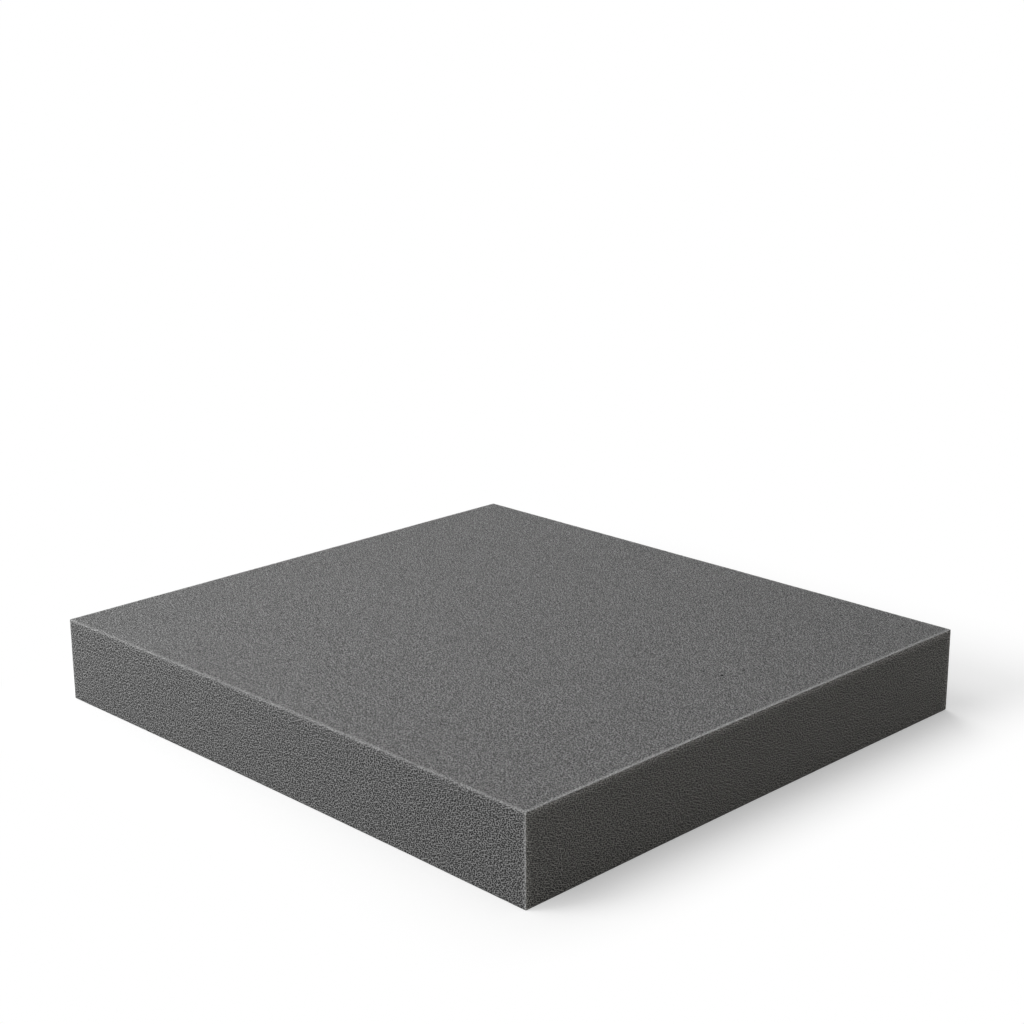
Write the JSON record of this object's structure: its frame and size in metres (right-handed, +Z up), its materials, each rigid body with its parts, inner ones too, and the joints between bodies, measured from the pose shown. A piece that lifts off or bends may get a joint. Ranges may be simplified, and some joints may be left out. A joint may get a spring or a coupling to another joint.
{
  "type": "upholstery foam sheet",
  "caption": "Square-cut slab of dark grey open-cell foam with softened edges, lying flat, for padding seats and cushions.",
  "frame": {"origin": "centre of the underside, on the surface that the sheet lies on", "axes": "+X along the longer side, +Y along the shorter side, +Z up through the thickness; the front cut faces -Y and the right-hand cut faces +X"},
  "size_m": [0.38, 0.35, 0.05],
  "materials": {
    "foam": "matte open-cell foam, knife-cut faces"
  },
  "bodies": {
    "root": {"foam_sheet": "foam"}
  },
  "joints": []
}
